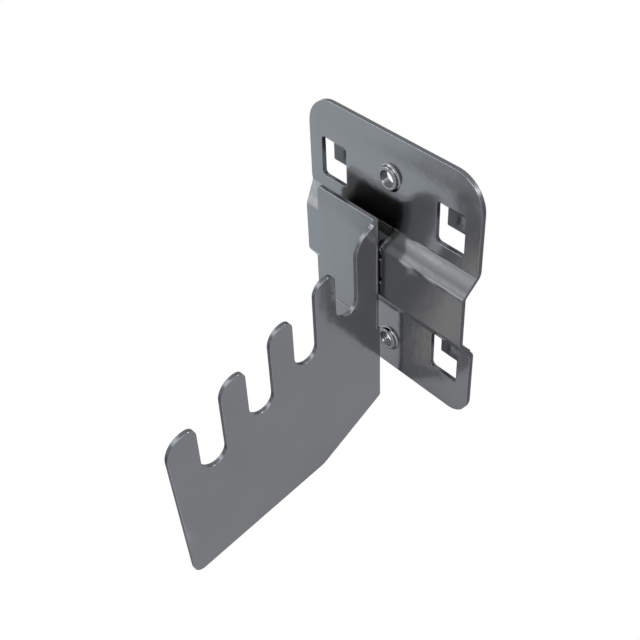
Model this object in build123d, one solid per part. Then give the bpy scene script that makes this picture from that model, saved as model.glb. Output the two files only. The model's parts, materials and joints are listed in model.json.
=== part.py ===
from build123d import *
import os
from math import atan2, cos, radians, sin, tan

os.makedirs("parts", exist_ok=True)

# Sheet and bends
SHEET = 1.2
BEND_INNER = 1.0

# Back plate, heights measured from the centre of the upper threaded hole
PLATE_TOP = 11.15
PLATE_BOTTOM = -57.3
UPPER_WIDTH = 55.3
MIDDLE_WIDTH = 52.9
LOWER_WIDTH = 54.3
TOP_CORNER_RADIUS = 8.2
BOTTOM_CORNER_RADIUS = 6.0
WAIST_RADIUS = 3.0

# Joggles that carry the middle of the plate forward of the wall
JOGGLE_DEPTH = 3.2
UPPER_JOGGLE_START = -13.3
UPPER_JOGGLE_RUN = 5.2
LOWER_JOGGLE_MARGIN = 0.1
LOWER_JOGGLE_RUN = 4.4
WAIST_LEAD = 1.2

# Openings with a tab bent out of each
PANEL_PITCH = 38.0
OPENING_WIDTH = 8.6
OPENING_HEIGHT = 10.9
UPPER_OPENING_BOTTOM = -9.9
OPENING_CORNER_RADIUS = 1.1
TAB_WIDTH = 8.3
TAB_REACH = 2.4
TAB_SHORT = 2.8
TAB_SLOPE_DEG = 45.0
TAB_BEND_INNER = 0.3
TAB_CORNER_RADIUS = 0.3

# Threaded holes with a drawn collar
HOLE_RADIUS = 2.1
COLLAR_RADIUS = 3.0
COLLAR_HEIGHT = 1.0
COLLAR_LIP_RADIUS = 0.3
COLLAR_ROOT_RADIUS = 0.6
COLLAR_SPREAD = 1.5
LOWER_HOLE_Z = -48.3

# Arm bracket flange
FLANGE_TOP = -9.9
FLANGE_BOTTOM = -41.9
FLANGE_LEFT = -20.6
FLANGE_CORNER_RADIUS = 1.0
ARM_RIGHT = 1.0
ARM_OVERLAP = 0.5

# Arm outline, distances forward of the wall
SHOULDER_SLOPE = 0.48
SHOULDER_RADIUS = 7.0
SLOT_CENTRES = (15.9, 28.9, 42.8, 57.4)
SLOT_WIDTHS = (6.7, 7.0, 7.4, 7.5)
SLOT_BOTTOMS = (-31.8, -38.7, -45.6, -52.6)
FINGER_TOPS = (-17.3, -23.5, -29.9, -37.6)
FINGER_REAR_RADIUS = 1.9
FRONT_FINGER_REAR_RADIUS = 2.2
FRONT_FINGER_WIDTH = 8.3
FRONT_RAKE_DEG = 2.4
FRONT_BOTTOM_Z = -85.8
FRONT_BOTTOM_RADIUS = 2.5
BOTTOM_BEND_REACH = 25.3
BOTTOM_BEND_Z = -77.3
BOTTOM_BEND_RADIUS = 6.0
BACK_EDGE_REACH = 5.2
BACK_BOTTOM_Z = -65.4
BACK_BOTTOM_RADIUS = 0.8


def outline(corners):
    """Closed face through corners, each given as across, up and corner radius."""
    count = len(corners)
    turns = []
    for i in range(count):
        here = Vector(corners[i][0], corners[i][1])
        radius = corners[i][2]
        last = Vector(corners[i - 1][0], corners[i - 1][1])
        following = corners[(i + 1) % count]
        back = (last - here).normalized()
        on = (Vector(following[0], following[1]) - here).normalized()
        if radius <= 0:
            turns.append((here, None, here))
            continue
        half = radians(back.get_angle(on)) / 2
        reach = radius / tan(half)
        middle = (back + on).normalized()
        crest = here + middle * (radius / sin(half) - radius)
        turns.append((here + back * reach, crest, here + on * reach))
    edges = []
    for i in range(count):
        start = turns[i - 1][2]
        enter, crest, leave = turns[i]
        if (enter - start).length > 1e-5:
            edges.append(Line(start, enter))
        if crest is not None:
            edges.append(ThreePointArc(enter, crest, leave))
    return make_face(edges)


# Side profile of the bent plate, with the lower joggle ending just above the lower openings
LOWER_OPENING_BOTTOM = UPPER_OPENING_BOTTOM - PANEL_PITCH
UPPER_JOGGLE_END = UPPER_JOGGLE_START - UPPER_JOGGLE_RUN
LOWER_JOGGLE_END = LOWER_OPENING_BOTTOM + OPENING_HEIGHT + LOWER_JOGGLE_MARGIN
LOWER_JOGGLE_START = LOWER_JOGGLE_END + LOWER_JOGGLE_RUN
OUTER = BEND_INNER + SHEET
UPPER_SHIFT = SHEET * tan(atan2(JOGGLE_DEPTH, UPPER_JOGGLE_RUN) / 2)
LOWER_SHIFT = SHEET * tan(atan2(JOGGLE_DEPTH, LOWER_JOGGLE_RUN) / 2)
FRONT = -SHEET
MIDDLE_FRONT = -SHEET - JOGGLE_DEPTH

plate_profile = outline([
    (FRONT, PLATE_TOP, 0),
    (FRONT, UPPER_JOGGLE_START, BEND_INNER),
    (MIDDLE_FRONT, UPPER_JOGGLE_END, OUTER),
    (MIDDLE_FRONT, LOWER_JOGGLE_START, OUTER),
    (FRONT, LOWER_JOGGLE_END, BEND_INNER),
    (FRONT, PLATE_BOTTOM, 0),
    (0, PLATE_BOTTOM, 0),
    (0, LOWER_JOGGLE_END + LOWER_SHIFT, OUTER),
    (-JOGGLE_DEPTH, LOWER_JOGGLE_START + LOWER_SHIFT, BEND_INNER),
    (-JOGGLE_DEPTH, UPPER_JOGGLE_END - UPPER_SHIFT, BEND_INNER),
    (0, UPPER_JOGGLE_START - UPPER_SHIFT, OUTER),
    (0, PLATE_TOP, 0),
])
sheet_body = extrude(Plane.YZ * plate_profile, amount=UPPER_WIDTH, both=True)

# Front outline of the plate, narrower at the waist
half_up = UPPER_WIDTH / 2
half_mid = MIDDLE_WIDTH / 2
half_low = LOWER_WIDTH / 2
right_side = [
    (half_up, PLATE_TOP, TOP_CORNER_RADIUS),
    (half_up, UPPER_JOGGLE_START + WAIST_LEAD, WAIST_RADIUS),
    (half_mid, UPPER_JOGGLE_END, WAIST_RADIUS),
    (half_mid, LOWER_JOGGLE_START, WAIST_RADIUS),
    (half_low, LOWER_JOGGLE_END, WAIST_RADIUS),
    (half_low, PLATE_BOTTOM, BOTTOM_CORNER_RADIUS),
]
left_side = [(-across, up, radius) for across, up, radius in reversed(right_side)]
front_outline = outline(right_side + left_side)
CUT_DEPTH = 4 * (SHEET + JOGGLE_DEPTH + TAB_REACH)
blank = extrude(Plane.XZ * front_outline, amount=CUT_DEPTH, both=True)
plate = sheet_body & blank

# Openings with rounded corners, and the tabs that hook behind the panel
BACK_OF_TAB = TAB_REACH + SHEET
TAB_OUTER = TAB_BEND_INNER + SHEET
tab_fall = tan(radians(TAB_SLOPE_DEG))
tab_lift = SHEET / cos(radians(TAB_SLOPE_DEG))


def framed(middle_x, width, top, bottom, top_radius, bottom_radius):
    """Solid block through the plate with a rounded outline seen from the front."""
    shape = outline([
        (middle_x - width / 2, top, top_radius),
        (middle_x + width / 2, top, top_radius),
        (middle_x + width / 2, bottom, bottom_radius),
        (middle_x - width / 2, bottom, bottom_radius),
    ])
    return extrude(Plane.XZ * shape, amount=CUT_DEPTH, both=True)


for middle_x in (-PANEL_PITCH / 2, PANEL_PITCH / 2):
    for bottom in (UPPER_OPENING_BOTTOM, LOWER_OPENING_BOTTOM):
        top = bottom + OPENING_HEIGHT
        tab_end = bottom + TAB_SHORT
        plate -= framed(middle_x, OPENING_WIDTH, top, bottom, OPENING_CORNER_RADIUS, OPENING_CORNER_RADIUS)
        tab_knee = top - tab_fall * (TAB_REACH + SHEET)
        tab_root = top - tab_fall * SHEET + tab_lift
        tab_profile = outline([
            (FRONT, top, 0),
            (TAB_REACH, tab_knee, TAB_BEND_INNER),
            (TAB_REACH, tab_end, 0),
            (BACK_OF_TAB, tab_end, 0),
            (BACK_OF_TAB, tab_knee + tab_lift - tab_fall * SHEET, TAB_OUTER),
            (0, tab_root, TAB_BEND_INNER),
            (0, tab_root + TAB_BEND_INNER, 0),
            (FRONT / 2, tab_root + TAB_BEND_INNER, 0),
        ])
        tab_plane = Plane.YZ.offset(middle_x - TAB_WIDTH / 2)
        tab = extrude(tab_plane * tab_profile, amount=TAB_WIDTH)
        plate += tab & framed(middle_x, TAB_WIDTH, top + 2 * OUTER, tab_end, 0, TAB_CORNER_RADIUS)

# Collars drawn forward around the two threaded holes
collar_half = outline([
    (0, 0, 0),
    (0, SHEET + COLLAR_HEIGHT, 0),
    (COLLAR_RADIUS, SHEET + COLLAR_HEIGHT, COLLAR_LIP_RADIUS),
    (COLLAR_RADIUS, SHEET, COLLAR_ROOT_RADIUS),
    (COLLAR_RADIUS + COLLAR_SPREAD, SHEET, 0),
    (COLLAR_RADIUS + COLLAR_SPREAD, 0, 0),
])
collar = Rot(90, 0, 0) * revolve(Plane.XZ * collar_half, axis=Axis.Z)
bore = Rot(90, 0, 0) * Cylinder(HOLE_RADIUS, 2 * CUT_DEPTH)
for hole_z in (0, LOWER_HOLE_Z):
    plate += Pos(0, 0, hole_z) * collar
    plate -= Pos(0, 0, hole_z) * bore
plate = plate.clean()

# Flange and bend of the arm bracket, seen from above
FLANGE_BACK = MIDDLE_FRONT
FLANGE_FRONT = MIDDLE_FRONT - SHEET
ARM_LEFT = ARM_RIGHT - SHEET
BEND_END = FLANGE_BACK - OUTER
bend_profile = outline([
    (FLANGE_LEFT, FLANGE_BACK, 0),
    (ARM_RIGHT, FLANGE_BACK, OUTER),
    (ARM_RIGHT, BEND_END - ARM_OVERLAP, 0),
    (ARM_LEFT, BEND_END - ARM_OVERLAP, 0),
    (ARM_LEFT, FLANGE_FRONT, BEND_INNER),
    (FLANGE_LEFT, FLANGE_FRONT, 0),
])
bend_height = FLANGE_TOP - FLANGE_BOTTOM
bend = extrude(Plane.XY.offset(FLANGE_BOTTOM) * bend_profile, amount=bend_height)
flange_outline = outline([
    (FLANGE_LEFT, FLANGE_TOP, FLANGE_CORNER_RADIUS),
    (ARM_RIGHT + SHEET, FLANGE_TOP, 0),
    (ARM_RIGHT + SHEET, FLANGE_BOTTOM, 0),
    (FLANGE_LEFT, FLANGE_BOTTOM, FLANGE_CORNER_RADIUS),
])
bend = bend & extrude(Plane.XZ * flange_outline, amount=CUT_DEPTH, both=True)

# Arm with its row of open slots, each lower than the one behind it
arm_start = -BEND_END
slot_rear = [c - w / 2 for c, w in zip(SLOT_CENTRES, SLOT_WIDTHS)]
slot_front = [c + w / 2 for c, w in zip(SLOT_CENTRES, SLOT_WIDTHS)]
shoulder_drop = SHOULDER_SLOPE * (slot_rear[0] - arm_start)
arm_corners = [
    (arm_start, FLANGE_TOP, 0),
    (slot_rear[0], FLANGE_TOP - shoulder_drop, SHOULDER_RADIUS),
]
for i in range(4):
    slot_radius = SLOT_WIDTHS[i] / 2
    arm_corners.append((slot_rear[i], SLOT_BOTTOMS[i], slot_radius))
    arm_corners.append((slot_front[i], SLOT_BOTTOMS[i], slot_radius))
    if i < 3:
        finger_width = slot_rear[i + 1] - slot_front[i]
        rear_radius = FINGER_REAR_RADIUS
    else:
        finger_width = FRONT_FINGER_WIDTH
        rear_radius = FRONT_FINGER_REAR_RADIUS
    front_radius = finger_width - rear_radius
    arm_corners.append((slot_front[i], FINGER_TOPS[i], rear_radius))
    if i < 3:
        arm_corners.append((slot_rear[i + 1], FINGER_TOPS[i], front_radius))
    else:
        rake = tan(radians(FRONT_RAKE_DEG))
        tip = slot_front[i] + rear_radius + front_radius / tan(radians(90 - FRONT_RAKE_DEG) / 2)
        arm_corners.append((tip, FINGER_TOPS[i], front_radius))
        foot = tip - rake * (FINGER_TOPS[i] - FRONT_BOTTOM_Z)
        arm_corners.append((foot, FRONT_BOTTOM_Z, FRONT_BOTTOM_RADIUS))
arm_corners += [
    (BOTTOM_BEND_REACH, BOTTOM_BEND_Z, BOTTOM_BEND_RADIUS),
    (BACK_EDGE_REACH, BACK_BOTTOM_Z, BACK_BOTTOM_RADIUS),
    (BACK_EDGE_REACH, FLANGE_BOTTOM, 0),
    (arm_start, FLANGE_BOTTOM, 0),
]
arm_plane = Plane(origin=(ARM_RIGHT, 0, 0), x_dir=(0, -1, 0), z_dir=(-1, 0, 0))
arm = extrude(arm_plane * outline(arm_corners), amount=SHEET)
bracket = (bend + arm).clean()

export_step(plate, "parts/back_plate.step")
export_step(bracket, "parts/arm_bracket.step")
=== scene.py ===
import json
import math

import bpy
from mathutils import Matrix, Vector


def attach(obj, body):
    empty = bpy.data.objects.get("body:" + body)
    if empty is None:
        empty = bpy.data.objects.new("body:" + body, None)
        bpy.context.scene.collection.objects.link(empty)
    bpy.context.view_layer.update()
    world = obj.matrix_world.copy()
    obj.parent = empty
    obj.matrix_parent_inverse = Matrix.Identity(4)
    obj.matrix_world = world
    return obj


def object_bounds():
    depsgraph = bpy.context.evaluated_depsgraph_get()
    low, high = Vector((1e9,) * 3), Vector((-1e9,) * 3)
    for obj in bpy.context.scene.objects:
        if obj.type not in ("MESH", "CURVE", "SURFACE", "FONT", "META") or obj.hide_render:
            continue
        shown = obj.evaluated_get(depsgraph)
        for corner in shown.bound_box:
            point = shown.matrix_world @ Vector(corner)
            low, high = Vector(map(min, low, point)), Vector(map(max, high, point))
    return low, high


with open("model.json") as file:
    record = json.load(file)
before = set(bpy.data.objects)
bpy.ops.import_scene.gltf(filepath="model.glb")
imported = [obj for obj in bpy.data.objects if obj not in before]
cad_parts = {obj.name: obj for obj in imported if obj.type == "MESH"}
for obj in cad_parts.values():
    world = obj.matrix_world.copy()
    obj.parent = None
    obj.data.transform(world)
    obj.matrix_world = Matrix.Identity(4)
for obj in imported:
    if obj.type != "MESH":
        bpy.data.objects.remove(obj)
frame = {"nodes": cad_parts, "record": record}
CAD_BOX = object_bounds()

bl_info = {
    "name": "Slotted pegboard hook",
    "version": (1, 0, 0),
    "blender": (4, 5, 0),
    "location": "View3D > Sidebar > Hook",
    "description": "Dresses a zinc plated pegboard hook with a slotted arm",
    "category": "Object",
}


def linear(hex_colour):
    """Linear colour of an sRGB hex value such as 9AA0A6."""
    parts = [int(hex_colour[i:i + 2], 16) / 255 for i in (0, 2, 4)]
    curve = [p / 12.92 if p <= 0.04045 else ((p + 0.055) / 1.055) ** 2.4 for p in parts]
    return (*curve, 1.0)


def toned(colour, tone):
    """The colour made darker or lighter by a factor, and opaque."""
    return (*(part * tone for part in colour[:3]), 1.0)


MM = 0.001

# The arm bracket's sheet faces along X forward of this place on Y, and along Y behind it
ARM_BEGINS = -8 * MM
# A normal that points this little out of the sheet's face belongs to a sheared edge
EDGE_BEGINS = 0.45
EDGE_FULL = 0.25
BEVEL_SAMPLES = 8

# Heights between which the back plate's upper flange bulges forward, above the joggle
CROWN_FOOT = -13.6 * MM
CROWN_TOP = 9 * MM
# Heights of the joggle's slope, which swells softly across its middle
SLOPE_FOOT = -18.6 * MM
SLOPE_MIDDLE = -15.9 * MM
SLOPE_TOP = -13.2 * MM
SLOPE_SWELL = 0.22 * MM

# Width and height of the slow waves that pressing leaves in flat sheet, and of the finer ones
WAVES = ((22 * MM, 0.5 * MM), (2.5 * MM, 0.032 * MM))
# Grain of the rolled sheet under the plating, drawn coarse enough to show
GRAIN = 0.45 * MM
GRAIN_DEPTH = 0.01 * MM
GRAIN_STRENGTH = 0.12
# Handling scratches about 1 mm apart, drawn out along a slant, where the pattern comes to its crests
SCRATCH_GAP = 0.9 * MM
SCRATCH_STRETCH = (1.0, 0.9, 14.0)
SCRATCH_SLANT = (0.5, 0.25, 0.0)
SCRATCH_CRESTS = (0.62, 0.78)
SCRATCH_BLUR = 0.10
# How much the cloudy patches add to the blur or take from it
PATCH_BLUR = 0.05
# The plating in the tapped holes is painted darker by this factor: painted shade for the little light
# that reaches into them
THREAD_PAINTED_SHADE = 0.55

# Widths of the thread, at its foot as a share of the pitch and at its crest as a share of the foot
THREAD_FOOT = 0.8
THREAD_CREST = 0.22
# How far the thread's foot reaches into the wall of the bore
THREAD_ROOT = 0.02 * MM
THREAD_STEPS = 90
THREAD_SMOOTHING = math.radians(40)

# The weld beads stand in the gap beside the bend: their place across and from front to back,
# then the height and radius of each from the top down
BEAD_X = 0.45 * MM
BEAD_Y = -4.62 * MM
BEADS = ((-18.3 * MM, 0.34 * MM), (-21.3 * MM, 0.3 * MM), (-28.2 * MM, 0.32 * MM))
BEAD_SHAPE = (1.0, 0.8, 1.25)
WELD_RIPPLE = 0.25 * MM
WELD_RIPPLE_DEPTH = 0.05 * MM
WELD_SHADE = 0.8

WHITE = linear("FFFFFF")
FLOOR_SIZE = 6.0
SHADOW_CENTRE = (-25 * MM, 5 * MM, 0)
# How steeply the right border of the painted pool of light runs across the card
CARD_SLANT = 0.38
# What metal mirrors of the card: a ground, and patches of painted light and shade over it.
# An edge of a patch is a measure, the place where the patch begins and the place where it is full.
CARD_GROUND = linear("CED7DE")
CARD_PAINTED_LIGHT_AND_SHADE = (
    # painted shade: the card falls off to the right
    ((("x", -120 * MM, -30 * MM),), linear("B8BAC0")),
    # painted light: it is brighter far out on the left
    ((("x", -200 * MM, -400 * MM),), WHITE),
    # painted shade: it is darker in front, on the left
    ((("x", -160 * MM, -75 * MM), ("y", -90 * MM, -112 * MM), ("x", 20 * MM, -10 * MM)),
     linear("8C8E92")),
    # it is darkest in the object's own shadow
    ((("from shadow", 60 * MM, 30 * MM),), linear("76787C")),
    # and a painted pool of light: it is brightest just in front of the object
    ((("aslant", 27 * MM, 22 * MM), ("y", -50 * MM, -57 * MM), ("x", 30 * MM, 38 * MM)),
     toned(WHITE, 1.25)),
)
CARD_COLOUR = linear("E6E6E6")

# What metal mirrors of the room, by how steeply one looks up: a pale wall that is lighter overhead,
# and a strip a little brighter than white along the horizon
ROOM_GROUND = linear("B8BCC0")
ROOM_PATCHES = (
    ((("rise", 0.1, 0.7),), linear("F2F6FA")),
    ((("rise", 0.10, 0.02),), (1.0, 1.04, 1.08, 1.0)),
)

# Name, place, width and power of each lamp, and the place that all of them face
LAMPS = (
    ("key_softbox", (0.35, -0.25, 0.75), 0.55, 1.6),
    ("top_left_softbox", (-0.6, -0.5, 0.55), 0.5, 1.6),
    ("back_right_softbox", (0.66, 0.47, 0.55), 0.3, 3.0),
    ("left_softbox", (-0.85, -0.72, 0.15), 0.42, 0.2),
)
LAMP_AIM = Vector((0, -20 * MM, -30 * MM))

# The camera was fitted to the photograph's straight edges
PHOTO_WIDTH_IN_PIXELS = 640
FOCAL_LENGTH_IN_PIXELS = 1033.24
CAMERA_FRAME_WIDTH = 36
CAMERA_PLACE = (141.491 * MM, -137.569 * MM, 128.714 * MM)
CAMERA_TURN_IN_DEGREES = (48.984628, 2.23785, 49.160939)
CAMERA_NEAREST = 5 * MM


def record_mount(name):
    """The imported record's mount of that name."""
    return next(m for m in frame["record"]["mounts"] if m["name"] == name)


# Settings

class HookFinish(bpy.types.PropertyGroup):
    plating: bpy.props.FloatVectorProperty(
        name="Plating", description="Colour of the bright zinc plating", subtype="COLOR",
        size=4, min=0, max=1, default=linear("A8A8A8"))
    plating_shade: bpy.props.FloatVectorProperty(
        name="Plating shade", description="Slightly duller patches in the plating", subtype="COLOR",
        size=4, min=0, max=1, default=linear("9E9E9E"))
    roughness: bpy.props.FloatProperty(
        name="Roughness", description="How far the plating blurs what it mirrors", subtype="FACTOR",
        min=0, max=1, default=0.15)
    patch_size: bpy.props.FloatProperty(
        name="Patch size", description="Width of the soft patches in the plating",
        subtype="DISTANCE", unit="LENGTH", min=1 * MM, max=100 * MM, default=14 * MM)
    sheared: bpy.props.FloatVectorProperty(
        name="Sheared edge", description="Colour of the duller plating on the sheared edges",
        subtype="COLOR", size=4, min=0, max=1, default=linear("6C6E72"))
    sheared_roughness: bpy.props.FloatProperty(
        name="Edge roughness", description="How far the sheared edges blur what they mirror",
        subtype="FACTOR", min=0, max=1, default=0.32)
    edge_round: bpy.props.FloatProperty(
        name="Edge rounding", description="Radius that the plating gives the sheared edges",
        subtype="DISTANCE", unit="LENGTH", default=0.24 * MM)
    crown: bpy.props.FloatProperty(
        name="Crown", description="How far the upper flange bulges above the joggle",
        subtype="DISTANCE", unit="LENGTH", default=2.0 * MM)
    weld: bpy.props.FloatVectorProperty(
        name="Weld", description="Colour of the weld metal under the plating", subtype="COLOR",
        size=4, min=0, max=1, default=linear("8C8F92"))


class HookThread(bpy.types.PropertyGroup):
    pitch: bpy.props.FloatProperty(
        name="Pitch", description="Distance from one turn of the thread to the next",
        subtype="DISTANCE", unit="LENGTH", default=0.7 * MM)
    depth: bpy.props.FloatProperty(
        name="Depth", description="How far the thread stands in from the bore",
        subtype="DISTANCE", unit="LENGTH", default=0.09 * MM)


class HookStage(bpy.types.PropertyGroup):
    floor_drop: bpy.props.FloatProperty(
        name="Floor drop", description="Height of the object above the floor",
        subtype="DISTANCE", unit="LENGTH", default=30 * MM)
    lens: bpy.props.FloatProperty(
        name="Lens", description="Focal length of the camera on a 36 mm frame, in millimetres",
        min=10, max=200, default=FOCAL_LENGTH_IN_PIXELS * CAMERA_FRAME_WIDTH / PHOTO_WIDTH_IN_PIXELS)


# Materials

def add_node(tree, kind, inputs=None, **settings):
    """Adds a node with its settings, and links its inputs or gives them their values."""
    node = tree.nodes.new(kind)
    for setting, value in settings.items():
        setattr(node, setting, value)
    for socket, source in (inputs or {}).items():
        if isinstance(source, bpy.types.NodeSocket):
            tree.links.new(source, node.inputs[socket])
        else:
            node.inputs[socket].default_value = source
    return node


def empty_material(name):
    """A new material, and its tree with no nodes in it."""
    material = bpy.data.materials.new(name)
    material.use_nodes = True
    material.node_tree.nodes.clear()
    return material, material.node_tree


def sheared_share(tree, place, normal, arm_begins):
    """1 on the sheared edges and 0 on the faces of a sheet that faces along Y.

    Forward of arm_begins, where there is one, the sheet faces along X instead.
    """
    own = add_node(tree, "ShaderNodeVectorTransform", {"Vector": normal}, vector_type="NORMAL",
                   convert_from="WORLD", convert_to="OBJECT")
    turned = add_node(tree, "ShaderNodeSeparateXYZ", {"Vector": own.outputs["Vector"]})
    face = add_node(tree, "ShaderNodeMath", {0: turned.outputs["Y"]}, operation="ABSOLUTE")
    if arm_begins is not None:
        along = add_node(tree, "ShaderNodeSeparateXYZ", {"Vector": place})
        behind = add_node(tree, "ShaderNodeMath", {0: along.outputs["Y"], 1: arm_begins},
                          operation="GREATER_THAN")
        flange = add_node(tree, "ShaderNodeMath", {0: face.outputs[0], 1: behind.outputs[0]},
                          operation="MULTIPLY")
        side = add_node(tree, "ShaderNodeMath", {0: turned.outputs["X"]}, operation="ABSOLUTE")
        face = add_node(tree, "ShaderNodeMath", {0: flange.outputs[0], 1: side.outputs[0]},
                        operation="MAXIMUM")
    share = add_node(tree, "ShaderNodeMapRange", {
        "Value": face.outputs[0], "From Min": EDGE_BEGINS, "From Max": EDGE_FULL},
        interpolation_type="SMOOTHSTEP")
    return share.outputs["Result"]


def plating_colour(tree, cloud, sheared, finish, tone):
    """Colour of the plating, a little duller in patches and duller still on the sheared edges."""
    # tone darkens both colours; in the tapped holes this is painted shade
    face = add_node(tree, "ShaderNodeMix", {
        "Factor": cloud, "A": toned(finish.plating_shade, tone), "B": toned(finish.plating, tone)},
        data_type="RGBA")
    colour = add_node(tree, "ShaderNodeMix", {
        "Factor": sheared, "A": face.outputs["Result"], "B": tuple(finish.sheared)},
        data_type="RGBA")
    return colour.outputs["Result"]


def plating_blur(tree, place, cloud, sheared, finish):
    """Roughness of the plating, with its patches and scratches, and of the sheared edges."""
    stretched = add_node(tree, "ShaderNodeMapping", {
        "Vector": place, "Scale": SCRATCH_STRETCH, "Rotation": SCRATCH_SLANT}, vector_type="TEXTURE")
    scratches = add_node(tree, "ShaderNodeTexNoise", {
        "Vector": stretched.outputs["Vector"], "Scale": 1 / SCRATCH_GAP, "Detail": 4.0,
        "Roughness": 0.7})
    crests_begin, crests_full = SCRATCH_CRESTS
    marks = add_node(tree, "ShaderNodeMapRange", {
        "Value": scratches.outputs["Fac"], "From Min": crests_begin, "From Max": crests_full,
        "To Min": 0.0, "To Max": SCRATCH_BLUR})
    patches = add_node(tree, "ShaderNodeMapRange", {
        "Value": cloud, "To Min": finish.roughness - PATCH_BLUR,
        "To Max": finish.roughness + PATCH_BLUR})
    face = add_node(tree, "ShaderNodeMath", {0: patches.outputs["Result"], 1: marks.outputs["Result"]},
                    operation="ADD")
    blur = add_node(tree, "ShaderNodeMix", {
        "Factor": sheared, "A": face.outputs[0], "B": finish.sheared_roughness})
    return blur.outputs["Result"]


def pressed_relief(tree, place, normal, swells):
    """Normal of the pressed sheet, with its waves, its swells and the grain under the plating."""
    for width, height in WAVES:
        waves = add_node(tree, "ShaderNodeTexNoise", {
            "Vector": place, "Scale": 1 / width, "Detail": 1.0})
        wavy = add_node(tree, "ShaderNodeBump", {
            "Height": waves.outputs["Fac"], "Normal": normal, "Strength": 1.0, "Distance": height})
        normal = wavy.outputs["Normal"]
    if swells:
        up = add_node(tree, "ShaderNodeSeparateXYZ", {"Vector": place}).outputs["Z"]
        # heights are real ones here, so the bump takes them as they are
        raised = 0.0
        for foot, top, rise in swells:
            share = add_node(tree, "ShaderNodeMapRange", {
                "Value": up, "From Min": foot, "From Max": top}, interpolation_type="SMOOTHSTEP")
            total = add_node(tree, "ShaderNodeMath", {
                0: share.outputs["Result"], 1: rise, 2: raised}, operation="MULTIPLY_ADD")
            raised = total.outputs[0]
        bulged = add_node(tree, "ShaderNodeBump", {
            "Height": raised, "Normal": normal, "Strength": 1.0, "Distance": 1.0})
        normal = bulged.outputs["Normal"]
    grain = add_node(tree, "ShaderNodeTexNoise", {"Vector": place, "Scale": 1 / GRAIN, "Detail": 2.0})
    grained = add_node(tree, "ShaderNodeBump", {
        "Height": grain.outputs["Fac"], "Normal": normal, "Strength": GRAIN_STRENGTH,
        "Distance": GRAIN_DEPTH})
    return grained.outputs["Normal"]


def zinc_plating(name, finish, swells=(), arm_begins=None, tone=1.0):
    """Bright zinc over cold rolled sheet: a soft mirror with faint cloudy patches and handling marks.

    A swell is the height where the sheet begins to bulge forward, the height where it is done, and
    how far it comes. Forward of arm_begins the sheet faces along X.
    """
    material, tree = empty_material(name)
    place = add_node(tree, "ShaderNodeTexCoord").outputs["Object"]
    # the plating rounds the sheared edges, which gives them their thin bright line
    rounded = add_node(tree, "ShaderNodeBevel", {"Radius": finish.edge_round}, samples=BEVEL_SAMPLES)
    normal = rounded.outputs["Normal"]
    sheared = sheared_share(tree, place, normal, arm_begins)
    # soft cloudy patches left by the plating bath
    clouds = add_node(tree, "ShaderNodeTexNoise", {
        "Vector": place, "Scale": 1 / finish.patch_size, "Detail": 3.0, "Roughness": 0.55})
    cloud = clouds.outputs["Fac"]
    shader = add_node(tree, "ShaderNodeBsdfPrincipled", {
        "Base Color": plating_colour(tree, cloud, sheared, finish, tone),
        "Metallic": 1.0,
        "Roughness": plating_blur(tree, place, cloud, sheared, finish),
        "Normal": pressed_relief(tree, place, normal, swells)})
    add_node(tree, "ShaderNodeOutputMaterial", {"Surface": shader.outputs["BSDF"]})
    return material


def weld_metal(name, finish):
    """Weld metal plated over: duller than the sheet, and rippled."""
    material, tree = empty_material(name)
    place = add_node(tree, "ShaderNodeTexCoord").outputs["Object"]
    ripple = add_node(tree, "ShaderNodeTexNoise", {
        "Vector": place, "Scale": 1 / WELD_RIPPLE, "Detail": 3.0}).outputs["Fac"]
    tint = add_node(tree, "ShaderNodeMix", {
        "Factor": ripple, "A": toned(finish.weld, WELD_SHADE), "B": tuple(finish.weld)},
        data_type="RGBA")
    bump = add_node(tree, "ShaderNodeBump", {
        "Height": ripple, "Strength": 0.5, "Distance": WELD_RIPPLE_DEPTH})
    shader = add_node(tree, "ShaderNodeBsdfPrincipled", {
        "Base Color": tint.outputs["Result"], "Metallic": 1.0, "Roughness": 0.38,
        "Normal": bump.outputs["Normal"]})
    add_node(tree, "ShaderNodeOutputMaterial", {"Surface": shader.outputs["BSDF"]})
    return material


def patched(tree, ground, patches, measures):
    """Colour of a ground with patches laid over it in turn, soft at their edges."""
    colour = ground
    for edges, paint in patches:
        share = 1.0
        for measure, begins, full in edges:
            edge = add_node(tree, "ShaderNodeMapRange", {
                "Value": measures[measure], "From Min": begins, "From Max": full},
                interpolation_type="SMOOTHSTEP")
            both = add_node(tree, "ShaderNodeMath", {0: share, 1: edge.outputs["Result"]},
                            operation="MULTIPLY")
            share = both.outputs[0]
        laid = add_node(tree, "ShaderNodeMix", {"Factor": share, "A": colour, "B": paint},
                        data_type="RGBA")
        colour = laid.outputs["Result"]
    return colour


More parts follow.
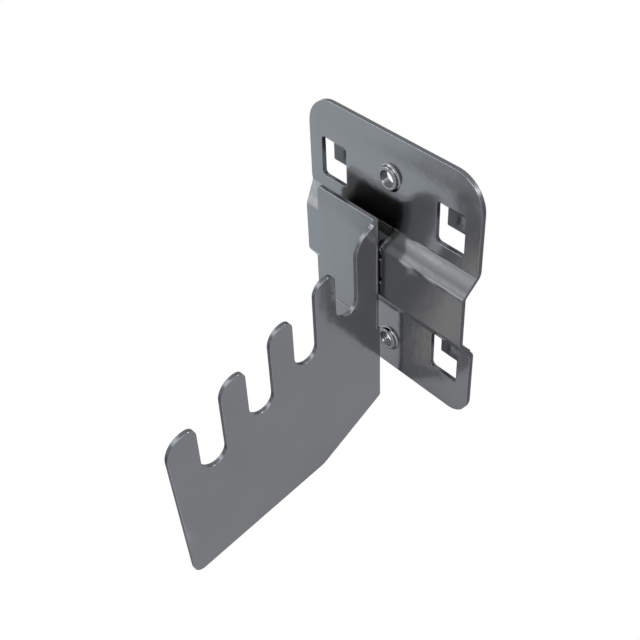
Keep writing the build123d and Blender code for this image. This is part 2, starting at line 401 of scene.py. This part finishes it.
def matt_white_card():
    """Matt white card: the camera sees plain white, and metal mirrors painted light and shade on it.
    """
    material, tree = empty_material("matt_white_card")
    place = add_node(tree, "ShaderNodeTexCoord").outputs["Object"]
    across = add_node(tree, "ShaderNodeSeparateXYZ", {"Vector": place})
    shadow = add_node(tree, "ShaderNodeVectorMath", {0: place, 1: SHADOW_CENTRE},
                      operation="DISTANCE")
    aslant = add_node(tree, "ShaderNodeMath", {
        0: across.outputs["Y"], 1: CARD_SLANT, 2: across.outputs["X"]}, operation="MULTIPLY_ADD")
    measures = {"x": across.outputs["X"], "y": across.outputs["Y"],
                "from shadow": shadow.outputs["Value"], "aslant": aslant.outputs[0]}
    # metal sees the card glow with painted light, painted shade and a painted shadow; the card is no
    # lamp
    mirrored = add_node(tree, "ShaderNodeEmission", {
        "Color": patched(tree, CARD_GROUND, CARD_PAINTED_LIGHT_AND_SHADE, measures), "Strength": 1.0})
    card = add_node(tree, "ShaderNodeBsdfDiffuse", {"Color": CARD_COLOUR})
    seen = add_node(tree, "ShaderNodeEmission", {"Color": WHITE, "Strength": 1.0})
    path = add_node(tree, "ShaderNodeLightPath")
    lit = add_node(tree, "ShaderNodeMixShader", {
        0: path.outputs["Is Glossy Ray"], 1: card.outputs[0], 2: mirrored.outputs[0]})
    both = add_node(tree, "ShaderNodeMixShader", {
        0: path.outputs["Is Camera Ray"], 1: lit.outputs[0], 2: seen.outputs[0]})
    add_node(tree, "ShaderNodeOutputMaterial", {"Surface": both.outputs[0]})
    return material


def pale_room():
    """World of a pale room, which the camera sees as plain white."""
    room = bpy.data.worlds.new("studio")
    room.use_nodes = True
    tree = room.node_tree
    tree.nodes.clear()
    way = add_node(tree, "ShaderNodeTexCoord").outputs["Generated"]
    parts = add_node(tree, "ShaderNodeSeparateXYZ", {"Vector": way})
    walls = add_node(tree, "ShaderNodeBackground", {
        "Color": patched(tree, ROOM_GROUND, ROOM_PATCHES, {"rise": parts.outputs["Z"]}),
        "Strength": 1.0})
    seen = add_node(tree, "ShaderNodeBackground", {"Color": WHITE, "Strength": 1.0})
    path = add_node(tree, "ShaderNodeLightPath")
    both = add_node(tree, "ShaderNodeMixShader", {
        0: path.outputs["Is Camera Ray"], 1: walls.outputs[0], 2: seen.outputs[0]})
    add_node(tree, "ShaderNodeOutputWorld", {"Surface": both.outputs[0]})
    return room


# Pieces

def give(piece, material):
    """Puts one material on every face of a piece."""
    piece.data.materials.clear()
    piece.data.materials.append(material)


def settle(piece, name):
    """Names a piece, applies its modifiers and place, and makes it ride on the object."""
    bpy.ops.object.select_all(action="DESELECT")
    piece.select_set(True)
    bpy.context.view_layer.objects.active = piece
    for modifier in list(piece.modifiers):
        bpy.ops.object.modifier_apply(modifier=modifier.name)
    bpy.ops.object.transform_apply(location=True, rotation=True, scale=True)
    piece.name = name
    piece.data.name = name
    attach(piece, "root")


def turn_thread(hole, thread, name):
    """Carries one small square, drawn in to the crest of the thread, round a hole from the front."""
    bore = hole["dims"]["r_mm"] * MM
    length = hole["dims"]["length_mm"] * MM
    height = hole["pos_m"][2]
    half = thread.pitch * THREAD_FOOT / 2
    bpy.ops.object.select_all(action="DESELECT")
    bpy.ops.mesh.primitive_plane_add(size=2 * half, location=(0, 0, 0))
    ridge = bpy.context.object
    for corner in ridge.data.vertices:
        inward = corner.co.x < 0
        corner.co.x = bore - thread.depth if inward else bore + THREAD_ROOT
        corner.co.y *= THREAD_CREST if inward else 1
    turns = length / thread.pitch - 1
    turn = ridge.modifiers.new("turn", "SCREW")
    turn.axis = "Y"
    turn.use_merge_vertices = False
    turn.iterations = 1
    turn.angle = math.tau * turns
    turn.screw_offset = -thread.pitch * turns
    turn.steps = THREAD_STEPS
    turn.render_steps = THREAD_STEPS
    ridge.location = (0, -thread.pitch / 2, height)
    settle(ridge, name)
    bpy.ops.object.mode_set(mode="EDIT")
    bpy.ops.mesh.select_all(action="SELECT")
    bpy.ops.mesh.normals_make_consistent(inside=False)
    bpy.ops.object.mode_set(mode="OBJECT")
    bpy.ops.object.shade_smooth_by_angle(angle=THREAD_SMOOTHING)
    return ridge


# Stage

def hang_lamp(name, place, width, power):
    """Hangs a round softbox that faces the object."""
    bpy.ops.object.select_all(action="DESELECT")
    bpy.ops.object.light_add(type="AREA", location=place)
    lamp = bpy.context.object
    lamp.name = name
    lamp.data.shape = "DISK"
    lamp.data.size = width
    lamp.data.energy = power
    lamp.rotation_euler = (LAMP_AIM - Vector(place)).to_track_quat("-Z", "Y").to_euler()


def set_camera(scene, lens):
    """Stands the camera where the photograph was taken from."""
    bpy.ops.object.select_all(action="DESELECT")
    bpy.ops.object.camera_add()
    camera = bpy.context.object
    camera.name = "photo_camera"
    camera.location = CAMERA_PLACE
    camera.rotation_euler = [math.radians(turn) for turn in CAMERA_TURN_IN_DEGREES]
    camera.data.sensor_fit = "HORIZONTAL"
    camera.data.sensor_width = CAMERA_FRAME_WIDTH
    camera.data.lens = lens
    camera.data.clip_start = CAMERA_NEAREST
    scene.camera = camera


# Operators

class HOOK_OT_plating(bpy.types.Operator):
    """Plates the back plate and the arm bracket"""
    bl_idname = "hook.plating"
    bl_label = "Plate the two sheets"

    def execute(self, context):
        finish = context.scene.hook_finish
        swells = ((CROWN_FOOT, CROWN_TOP, finish.crown),
                  (SLOPE_FOOT, SLOPE_MIDDLE, SLOPE_SWELL),
                  (SLOPE_MIDDLE, SLOPE_TOP, -SLOPE_SWELL))
        give(frame["nodes"]["back_plate"],
             zinc_plating("bright_zinc_plated_back_plate", finish, swells=swells))
        give(frame["nodes"]["arm_bracket"],
             zinc_plating("bright_zinc_plated_arm_bracket", finish, arm_begins=ARM_BEGINS))
        return {"FINISHED"}


class HOOK_OT_threads(bpy.types.Operator):
    """Lays a screw thread in the upper and the lower hole"""
    bl_idname = "hook.threads"
    bl_label = "Thread the two holes"

    def execute(self, context):
        scene = context.scene
        # the threads' plating is darkened here as painted shade inside the tapped holes
        material = zinc_plating("zinc_in_tapped_hole_painted_shade", scene.hook_finish, tone=THREAD_PAINTED_SHADE)
        for mount, name in (("upper_hole", "thread_upper"), ("lower_hole", "thread_lower")):
            ridge = turn_thread(record_mount(mount), scene.hook_thread, name)
            give(ridge, material)
        return {"FINISHED"}


class HOOK_OT_weld_beads(bpy.types.Operator):
    """Lays the small beads of weld metal that show in the gap beside the bend"""
    bl_idname = "hook.weld_beads"
    bl_label = "Lay the weld beads"

    def execute(self, context):
        material = weld_metal("weld_bead_plated_over", context.scene.hook_finish)
        for number, (height, radius) in enumerate(BEADS, start=1):
            bpy.ops.object.select_all(action="DESELECT")
            bpy.ops.mesh.primitive_uv_sphere_add(
                segments=20, ring_count=12, radius=radius,
                location=(BEAD_X, BEAD_Y, height), scale=BEAD_SHAPE)
            bead = context.object
            settle(bead, f"weld_bead_{number}")
            bpy.ops.object.shade_smooth()
            give(bead, material)
        return {"FINISHED"}


class HOOK_OT_stage(bpy.types.Operator):
    """Lays the floor, hangs the lamps and sets the camera"""
    bl_idname = "hook.stage"
    bl_label = "Set the stage"

    def execute(self, context):
        scene = context.scene
        low_corner = CAD_BOX[0]
        bpy.ops.object.select_all(action="DESELECT")
        bpy.ops.mesh.primitive_plane_add(
            size=FLOOR_SIZE, location=(0, 0, low_corner[2] - scene.hook_stage.floor_drop))
        floor = context.object
        floor.name = "floor"
        give(floor, matt_white_card())
        scene.world = pale_room()
        for lamp in LAMPS:
            hang_lamp(*lamp)
        set_camera(scene, scene.hook_stage.lens)
        scene.view_settings.view_transform = "Standard"
        return {"FINISHED"}


class HOOK_PT_sidebar(bpy.types.Panel):
    """Lists the finish, the thread and the stage of the hook"""
    bl_idname = "HOOK_PT_sidebar"
    bl_label = "Slotted pegboard hook"
    bl_space_type = "VIEW_3D"
    bl_region_type = "UI"
    bl_category = "Hook"

    def draw(self, context):
        layout = self.layout
        for name in GROUPS:
            group = getattr(context.scene, name)
            for key in group.__annotations__:
                layout.prop(group, key)
        for operator in STEPS:
            layout.operator(operator.bl_idname)


STEPS = (HOOK_OT_plating, HOOK_OT_threads, HOOK_OT_weld_beads, HOOK_OT_stage)
GROUPS = {"hook_finish": HookFinish, "hook_thread": HookThread, "hook_stage": HookStage}


def register():
    for kind in (*GROUPS.values(), *STEPS, HOOK_PT_sidebar):
        bpy.utils.register_class(kind)
    for name, kind in GROUPS.items():
        setattr(bpy.types.Scene, name, bpy.props.PointerProperty(type=kind))


def unregister():
    for name in GROUPS:
        delattr(bpy.types.Scene, name)
    for kind in (HOOK_PT_sidebar, *reversed(STEPS), *reversed(list(GROUPS.values()))):
        bpy.utils.unregister_class(kind)


def main():
    register()
    bpy.ops.hook.plating()
    bpy.ops.hook.threads()
    bpy.ops.hook.weld_beads()
    bpy.ops.hook.stage()


if __name__ == "__main__":
    main()
